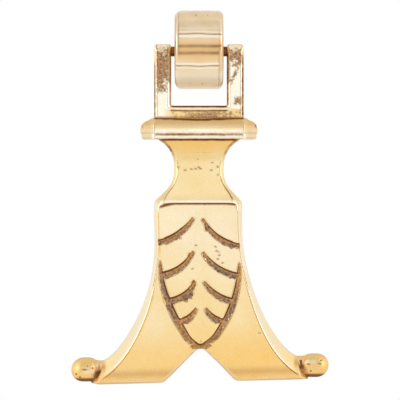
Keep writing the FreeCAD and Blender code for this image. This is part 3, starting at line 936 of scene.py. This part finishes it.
def hand_cast(points):
    """The slight lean, uneven feet and swaying veins of a pattern that was made by eye."""
    x, z = points[:, 0], points[:, 2]
    side = np.abs(x)
    right = np.zeros(len(points))
    for height, half_height, push in LEANS:
        right += push * bell(height, half_height, z)
    for middle_x, half_width, height, half_height, push in SWAYS:
        right += push * bell(middle_x, half_width, x) * bell(height, half_height, z)
    inwards = np.clip(x / TIP_RUN, -1.0, 1.0) * ease(3.5, 2.2, side) * bell(-49.5, 0.75, z)
    right -= TIP_DRAWN_IN * inwards

    tip = TIP_DRAWN_DOWN * bell(0.0, 2.5, x) * bell(-49.7, 0.9, z)
    veins = VEIN_TILT * np.clip(x / VEIN_RUN, -1.0, 1.0) * bell(-31.0, 5.5, z) * ease(-26.5, -28.5, z)
    shoulders = SLOPE * bell(8.7, 0.7, side) * ease(-13.0, -11.9, z) * ease(-10.9, -11.2, z)
    nearest, level, farthest = RIGHT_SOLE
    right_sole = SOLE_RISE * (np.clip(x, nearest, farthest) - level)
    right_sole += RIGHT_KNOB_LIFT * ease(*KNOB_LIFT_X, x)
    left_sole = LEFT_KNOB_LIFT * ease(*KNOB_LIFT_X, -x)
    left_sole -= SOLE_RISE * (np.clip(-x, *LEFT_SOLE) - LEFT_SOLE[0])
    feet = FOOT_TILT * np.clip(x / FOOT_RUN, -1.0, 1.0) + right_sole * ease(*RIGHT_SOLE_X, x) + left_sole
    up = feet * ease(*FEET_Z, z) - tip - veins - shoulders
    return points + np.column_stack((right, np.zeros(len(points)), up))


# The drop as a whole

# How strongly a cut and a seam mark what lies beside them, and where the bevels beside the seams get a
# painted highlight
CUT_GAIN = 3.0
SEAM_GAIN = 6.0
BEVEL_HIGHLIGHT_Z = (-34.0, -37.0)

# Depths and random lumps of the skin's grain, the chatter in the cuts and the waves on the back
SKIN_DEPTH = 0.05
SKIN_GRAIN = (0.4, 21)
CHATTER_DEPTH = 0.04
CHATTER = (0.28, 22)
WAVE_DEPTH = 0.03
WAVES = (2.5, 26)


def cast_drop():
    """The drop: its solid with worn edges, grain, pits and a hand-made unevenness, marked for its finish."""
    mesh = fine_mesh("drop_casting")
    edges = edges_of(mesh)
    points = lightly_cut(softened(relax(points_of(mesh), edges, EDGE_ROUNDS), edges))
    set_points(mesh, points)
    normals = normals_of(mesh)
    facing = -normals[:, 1]
    cut, wall_shade, rough_wall_and_shade = cut_marks(points, normals)
    clear_of_cuts = 1.0 - beside(cut, edges, CUT_ROUNDS, CUT_GAIN)
    seam = seam_mark(points, normals) * clear_of_cuts
    beside_seam = beside(seam, edges, SEAM_ROUNDS, SEAM_GAIN) * clear_of_cuts
    beside_seam *= ease(*BEVEL_HIGHLIGHT_Z, points[:, 2])
    # Painted highlight on the bevels beside the seams
    bevel_highlight = beside_seam * ease(0.9, 0.8, facing)
    # Painted reflection: a gold line on the face's rounded edge beside the seam, on the left
    gold_reflection_line = 0.95 * beside_seam * ease(0.9, 0.97, facing) * ease(*LEFT_HALF_X, points[:, 0])
    skin = skin_mark(points, facing)
    ledge = ledge_line(points, facing)
    pits = pit_mark(points, PITS) * ease(0.3, 0.5, facing)
    shade_and_patina = shade_and_patina_mark(points, normals, edges, facing, seam) * (1.0 - cut)
    painted_highlight = painted_highlight_mark(points, normals, edges, facing, bevel_highlight)

    # Grain of the skin, chatter in the cuts, waves on the back, pits, chisel stops and the ledge's groove
    depth = SKIN_DEPTH * skin * lumps(points, *SKIN_GRAIN) + CHATTER_DEPTH * rough_wall_and_shade * lumps(points, *CHATTER)
    depth += WAVE_DEPTH * ease(-0.3, -0.7, facing) * lumps(points, *WAVES)
    depth -= PIT_DEPTH * pits + LEDGE_DEPTH * ledge + STOP_DEPTH * stop_mark(points)
    set_points(mesh, hand_cast(points + normals * depth[:, None]))
    store(mesh, {
        "warmth": np.maximum(warmth_mark(points, normals, facing, seam), gold_reflection_line),
        "painted_highlight": painted_highlight * (1.0 - skin) * (1.0 - cut) * (1.0 - seam),
        "skin": skin,
        "cut": cut,
        "wall_shade": wall_shade,
        "rough_wall_and_shade": rough_wall_and_shade,
        "shade_and_patina": strongest(shade_and_patina, 0.7 * pits, 0.85 * ledge),
        "unbuffed": unbuffed_mark(points, facing),
    })
    finished_piece("leaf_drop", mesh, "drop_casting", "drop", polished_cast_brass())


# The knuckle post

# Height of the middle of its round nose, and how far back the nose reaches
NOSE_LIFT = 0.5
NOSE_Y = (1.0, -1.0)

# Bright and dark lines along the nose, painted reflections in its colour over faint real grooves and ridges:
# degrees up from straight in front, half width, shade from dark to bright
PAINTED_NOSE_LINES = (
    (28.4, 1.3, 0.5), (22.4, 1.4, 0.9), (18.9, 1.0, -0.8), (14.9, 2.2, 1.0), (0.0, 2.4, -0.75),
    (-10.3, 2.6, -0.7), (-27.1, 2.1, 1.0), (-30.2, 1.0, -0.8), (-34.0, 1.5, 0.9), (-39.0, 1.5, 0.4),
)
FILE_DEPTH = 0.03

# The lines sway by these degrees, less near the middle of the nose; each has a seed of its own
SWAY_DEGREES = 1.0
MIDDLE_SWAY_DEGREES = 0.3
MIDDLE_DEGREES = 12.0
SWAY_SIZE = 2.0
SWAY_SEED = 51

# Degrees of the tan middle of the nose, a painted reflection, and of the matt underside, which is painted
# pale
TAN_DEGREES = (-5.0, 15.0)
MATT_TOP_DEGREES = (-32.0, -50.0)
MATT_BACK_DEGREES = (-150.0, -120.0)

# Pits in the nose: x, z and radius
NOSE_PITS = ((-0.53, 5.92, 0.18), (1.5, 5.92, 0.14), (0.56, -5.6, 0.18), (-1.5, -5.6, 0.14))

# How far the corners were taken down
LEFT_CORNER = 0.3
RIGHT_CORNER = 0.12
LOWER_CORNERS = 0.2

# Slight waves left by the file, longer across the nose, and random lumps in the painted dark lines and cheek
# shade
WAVE_STRETCH = (0.6, 1.0, 1.0)
FILED_WAVE_DEPTH = 0.015
FILED_WAVES = (1.6, 41)
LINE_BREAKS = (0.9, 71)
CHEEK_PATCHES = (1.5, 72)


def filed_corners(points):
    """Takes down the nose's corners, most of all the upper left one."""
    x, z = points[:, 0], points[:, 2]
    upper = LEFT_CORNER * ease(2.9, 4.15, -x) + RIGHT_CORNER * ease(3.2, 4.15, x)
    moved = points.copy()
    moved[:, 2] -= upper * ease(4.5, 6.8, z)
    moved[:, 2] += LOWER_CORNERS * ease(3.3, 4.15, np.abs(x)) * ease(-4.3, -6.2, z)
    return moved


def painted_nose_marks(points, normals, turn):
    """The bright strips along the nose's sides, and at each point its painted highlight and painted shade:
    reflected lines, shade on the left edge and cheeks, and dark pits.
    """
    x, y, z = points.T
    upright = np.hypot(normals[:, 1], normals[:, 2])
    front = ease(0.6, 0.9, upright)
    nose = ease(*NOSE_Y, y)
    upper = ease(-1.6, -0.6, z) * front * nose
    lower = ease(0.7, -0.1, z) * front * nose

    # Bright strips along the sides, upper left and lower right, painted highlights, each beside a painted
    # dark line
    left_strip = ease(3.45, 3.6, -x) * upper
    right_strip = ease(3.35, 3.5, x) * lower
    strips = np.maximum(left_strip, right_strip)
    painted_brightness = 0.35 * left_strip + 0.1 * right_strip
    strip_lines = np.maximum(0.4 * bell(-3.47, 0.08, x) * upper,
                             0.55 * bell(3.38, 0.08, x) * lower)

    # Painted shade: the left edge beside the pin, most of all its lower half, and the cheeks; and the dark
    # pits
    left_edge = bell(-4.1, 0.2, x) * ease(-1.4, -0.7, z) * ease(0.2, 0.45, upright) * nose
    left_edge *= 0.45 * ease(6.0, 5.0, z) + 0.35 * ease(2.0, 1.4, z)
    cheeks = 0.35 * ease(0.55, 0.85, np.abs(normals[:, 0])) * (0.9 + 0.3 * lumps(points, *CHEEK_PATCHES))
    pits = 0.7 * pit_mark(points, NOSE_PITS) * ease(0.2, 0.4, -normals[:, 1])
    dark = strongest(strip_lines, left_edge, cheeks, pits)
    breaks = 0.9 + 0.2 * lumps(points * ACROSS, *LINE_BREAKS)
    for number, (middle, half_width, shade) in enumerate(PAINTED_NOSE_LINES):
        sway = SWAY_DEGREES if abs(middle) > MIDDLE_DEGREES else MIDDLE_SWAY_DEGREES
        swaying = middle + sway * lumps(points * ACROSS, SWAY_SIZE, SWAY_SEED + number)
        line = bell(swaying, half_width, turn) * front * (1.0 - strips)
        if shade > 0.0:
            painted_brightness = np.maximum(painted_brightness, shade * line)
        else:
            dark = np.maximum(dark, -shade * line * breaks)
    return strips, painted_brightness, dark


def knuckle():
    """The knuckle post: its solid with corners, lines and waves that the file left, marked for its finish and
    its painted reflections and shade.
    """
    mesh = fine_mesh("knuckle_post")
    edges = edges_of(mesh)
    points = filed_corners(relax(points_of(mesh), edges, EDGE_ROUNDS))
    set_points(mesh, points)
    normals = normals_of(mesh)
    turn = np.degrees(np.arctan2(points[:, 2] - NOSE_LIFT, -points[:, 1]))
    strips, painted_brightness, dark = painted_nose_marks(points, normals, turn)
    depth = FILED_WAVE_DEPTH * lumps(points * WAVE_STRETCH, *FILED_WAVES)
    depth += FILE_DEPTH * (0.5 * painted_brightness - dark)
    set_points(mesh, points + normals * depth[:, None])
    matt = ease(*MATT_TOP_DEGREES, turn) * ease(*MATT_BACK_DEGREES, turn)
    store(mesh, {
        # Painted reflection down the middle of the nose, and the matt underside painted pale
        "tan": np.maximum(bell(*TAN_DEGREES, turn), 0.5 * strips),
        "painted_brightness": np.maximum(painted_brightness, 0.65 * matt),
        "painted_shade_and_pits": np.clip(dark, 0.0, 1.0),
        "matt": matt,
    })
    finished_piece("filed_knuckle", mesh, "knuckle_post", "post", satin_brass())


# The studio

FLOOR_METRES = -0.15
FLOOR_SIDE_METRES = 1.2
PHOTO_SPAN = 68.4
CAMERA_DISTANCE = 400.0
CAMERA_MIDDLE = (0.17, -25.39)
SENSOR = 36.0

# Soft lamps: where they stand and what they are aimed at, their side and how bright they are
LEFT_LAMP_METRES = (-0.45, -0.3, 0.1)
RIGHT_LAMP_METRES = (0.45, -0.3, 0.1)
LAMP_AIM_METRES = (0.0, 0.0, -0.025)
LAMP_SIDE_METRES = 0.3
LEFT_RADIANCE = 1.6
RIGHT_RADIANCE = 1.4

# How bright the surround is at each height above the horizon, in degrees, in front and behind
FRONT_LEVELS = ((-90.0, 0.98), (-30.0, 1.0), (0.0, 1.05), (30.0, 1.06), (60.0, 1.0), (90.0, 0.93))
BACK_LEVELS = ((-90.0, 0.85), (-30.0, 0.9), (0.0, 0.98), (20.0, 0.93), (50.0, 0.75), (90.0, 0.85))
# The same round the horizon, from straight in front, 0, to straight behind, 180
ROUND_LEVELS = ((0.0, 1.0), (9.0, 1.0), (15.0, 0.5), (42.0, 0.5), (55.0, 1.1), (130.0, 1.05), (180.0, 1.0))
BRIGHTEST = 1.3
FILL = 0.95
# How far in y, to each side of the middle, the front's heights pass into the back's
FRONT_TO_BACK = 0.25


def surround():
    """A white studio: white behind the object, and soft pale and dark bands for the metal to show."""
    world = bpy.data.worlds.new("white_studio")
    bpy.context.scene.world = world
    world.use_nodes = True
    tree = world.node_tree
    tree.nodes.clear()
    rays = add(tree, "ShaderNodeLightPath")
    way = add(tree, "ShaderNodeSeparateXYZ", {0: add(tree, "ShaderNodeTexCoord").outputs["Generated"]})
    height = add(tree, "ShaderNodeMath", {0: way.outputs["Z"]}, operation="ARCSINE")
    height_share = add(tree, "ShaderNodeMapRange",
                       {VALUE: height, FROM_LOW: -math.pi / 2, FROM_HIGH: math.pi / 2})
    side = add(tree, "ShaderNodeMath", {0: way.outputs["X"]}, operation="ABSOLUTE")
    forward = add(tree, "ShaderNodeMath", {0: way.outputs["Y"], 1: -1.0}, operation="MULTIPLY")
    turn = add(tree, "ShaderNodeMath", {0: side, 1: forward}, operation="ARCTAN2")
    turn_share = add(tree, "ShaderNodeMapRange", {VALUE: turn, FROM_LOW: 0.0, FROM_HIGH: math.pi})
    levels = []
    for stops, low, high, share in ((FRONT_LEVELS, -90.0, 90.0, height_share),
                                    (BACK_LEVELS, -90.0, 90.0, height_share),
                                    (ROUND_LEVELS, 0.0, 180.0, turn_share)):
        greys = [((degrees - low) / (high - low), [level / BRIGHTEST] * 3 + [1.0])
                 for degrees, level in stops]
        levels.append(add(tree, "ShaderNodeValToRGB", {0: share}, greys))
    front_levels, back_levels, round_levels = levels
    behind = add(tree, "ShaderNodeMapRange",
                 {VALUE: way.outputs["Y"], FROM_LOW: -FRONT_TO_BACK, FROM_HIGH: FRONT_TO_BACK})
    upright = add(tree, "ShaderNodeMix", {SHARE: behind, COLOUR_A: front_levels,
                                          COLOUR_B: back_levels}, data_type="RGBA")
    bands = add(tree, "ShaderNodeMix", {SHARE: 1.0, COLOUR_A: upright.outputs[COLOUR_OUT],
                                        COLOUR_B: round_levels}, data_type="RGBA", blend_type="MULTIPLY")
    shown = add(tree, "ShaderNodeMath", {0: rays.outputs["Is Glossy Ray"],
                                         1: rays.outputs["Is Transmission Ray"]}, use_clamp=True)
    fill = add(tree, "ShaderNodeBackground", {"Color": linear("FFFFFF"), "Strength": FILL})
    metal_view = add(tree, "ShaderNodeBackground",
                     {"Color": bands.outputs[COLOUR_OUT], "Strength": BRIGHTEST * BRIGHTEST})
    white = add(tree, "ShaderNodeBackground", {"Color": linear("FFFFFF"), "Strength": 1.0})
    lit = add(tree, "ShaderNodeMixShader", {0: shown, 1: fill, 2: metal_view})
    seen = add(tree, "ShaderNodeMixShader", {0: rays.outputs["Is Camera Ray"], 1: lit, 2: white})
    add(tree, "ShaderNodeOutputWorld", {"Surface": seen})


def matt_white_paint():
    """Flat emulsion on a smooth board: an even, shineless off-white."""
    material = new_material("matt_white_paint")
    tree = material.node_tree
    surface = add(tree, "ShaderNodeBsdfPrincipled", {"Base Color": linear("F2F0EC"), "Roughness": 0.9})
    add(tree, "ShaderNodeOutputMaterial", {"Surface": surface})
    return material


def floor():
    """A plain pale floor below the object, which keeps its shadow."""
    half = FLOOR_SIDE_METRES / 2
    corners = [(-half, -half, FLOOR_METRES), (half, -half, FLOOR_METRES),
               (half, half, FLOOR_METRES), (-half, half, FLOOR_METRES)]
    mesh = bpy.data.meshes.new("floor")
    mesh.from_pydata(corners, [], [(0, 1, 2, 3)])
    mesh.materials.append(matt_white_paint())
    piece = bpy.data.objects.new("floor", mesh)
    bpy.context.scene.collection.objects.link(piece)


def softbox(name, place, aim, side, radiance):
    """A square soft lamp, as bright as its radiance says."""
    lamp = bpy.data.lights.new(name, "AREA")
    lamp.shape = "SQUARE"
    lamp.size = side
    lamp.energy = radiance * math.pi * side * side
    piece = bpy.data.objects.new(name, lamp)
    piece.location = place
    piece.rotation_euler = (Vector(aim) - Vector(place)).to_track_quat("-Z", "Y").to_euler()
    bpy.context.scene.collection.objects.link(piece)


def camera():
    """A long lens straight in front, framed as wide as the photo."""
    data = bpy.data.cameras.new("camera")
    data.sensor_width = SENSOR
    data.lens = SENSOR * CAMERA_DISTANCE / PHOTO_SPAN
    piece = bpy.data.objects.new("camera", data)
    across, up = CAMERA_MIDDLE
    piece.location = HINGE_METRES + Vector((across, -CAMERA_DISTANCE, up)) * MM
    piece.rotation_euler = (math.radians(90.0), 0.0, 0.0)
    bpy.context.scene.collection.objects.link(piece)
    bpy.context.scene.camera = piece


cast_drop()
knuckle()
pin = frame["nodes"]["hinge_pin"]
pin.data.materials.clear()
pin.data.materials.append(drawn_pin_brass())

surround()
floor()
softbox("left_softbox", LEFT_LAMP_METRES, LAMP_AIM_METRES, LAMP_SIDE_METRES, LEFT_RADIANCE)
softbox("right_softbox", RIGHT_LAMP_METRES, LAMP_AIM_METRES, LAMP_SIDE_METRES, RIGHT_RADIANCE)
camera()
bpy.context.scene.view_settings.view_transform = "Standard"
